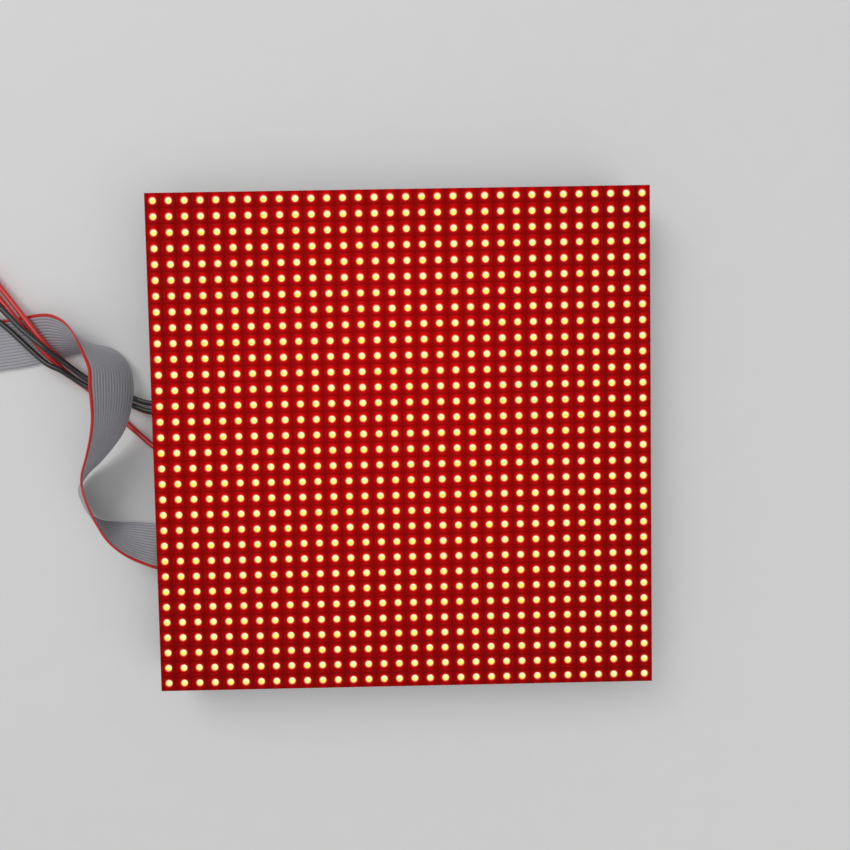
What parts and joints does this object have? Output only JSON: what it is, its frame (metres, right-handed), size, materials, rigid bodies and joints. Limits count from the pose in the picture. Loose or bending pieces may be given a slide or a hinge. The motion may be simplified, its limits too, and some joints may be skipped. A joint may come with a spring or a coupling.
{
  "type": "led matrix panel",
  "caption": "Square indoor LED display module with a black windowed mask, lit red pixels, ribboned data lead and power lead.",
  "frame": {"origin": "middle of the module's rear face, on the surface that it lies on, without its leads", "axes": "+Z is the way the LEDs shine, +X points away from the side that the leads leave by, +Y is up in the picture"},
  "size_m": [0.4108, 0.1997, 0.0252],
  "materials": {
    "mask_plastic": "matte black",
    "led_board": "lit red packages",
    "frame_plastic": "fine moulded black",
    "screw_steel": "plated",
    "insert_brass": "knurled",
    "chip_plastic": "moulded epoxy",
    "capacitor_can": "satin",
    "connector_plastic": "satin black",
    "white_nylon": "natural nylon",
    "ribbon_grey": "soft PVC, red edge",
    "red_pvc": "soft PVC",
    "black_pvc": "soft PVC",
    "terminal_tin": "tinned copper"
  },
  "bodies": {
    "root": {"black_fork_terminal": "terminal_tin", "black_wire_1": "black_pvc", "black_wire_2": "black_pvc", "capacitor_1": "capacitor_can", "capacitor_2": "capacitor_can", "data_in_header": "connector_plastic", "data_out_header": "connector_plastic", "data_plug": "connector_plastic", "far_data_plug": "connector_plastic", "led_board": "led_board", "led_driver_1": "chip_plastic", "led_driver_10": "chip_plastic", "led_driver_11": "chip_plastic", "led_driver_12": "chip_plastic", "led_driver_2": "chip_plastic", "led_driver_3": "chip_plastic", "led_driver_4": "chip_plastic", "led_driver_5": "chip_plastic", "led_driver_6": "chip_plastic", "led_driver_7": "chip_plastic", "led_driver_8": "chip_plastic", "led_driver_9": "chip_plastic", "line_buffer_1": "chip_plastic", "line_buffer_2": "chip_plastic", "line_buffer_3": "chip_plastic", "line_buffer_4": "chip_plastic", "mask": "mask_plastic", "power_plug": "white_nylon", "power_socket": "white_nylon", "rear_frame": "frame_plastic", "red_fork_terminal": "terminal_tin", "red_wire_1": "red_pvc", "red_wire_2": "red_pvc", "ribbon_cable": "ribbon_grey", "row_decoder_1": "chip_plastic", "row_decoder_2": "chip_plastic", "row_switch_1": "chip_plastic", "row_switch_2": "chip_plastic", "row_switch_3": "chip_plastic", "row_switch_4": "chip_plastic", "row_switch_5": "chip_plastic", "row_switch_6": "chip_plastic", "row_switch_7": "chip_plastic", "row_switch_8": "chip_plastic", "screw_1": "screw_steel", "screw_2": "screw_steel", "screw_3": "screw_steel", "screw_4": "screw_steel", "screw_5": "screw_steel", "screw_6": "screw_steel", "screw_7": "screw_steel", "screw_8": "screw_steel", "screw_9": "screw_steel", "thread_insert_1": "insert_brass", "thread_insert_2": "insert_brass", "thread_insert_3": "insert_brass", "thread_insert_4": "insert_brass", "thread_insert_5": "insert_brass", "thread_insert_6": "insert_brass"}
  },
  "joints": []
}
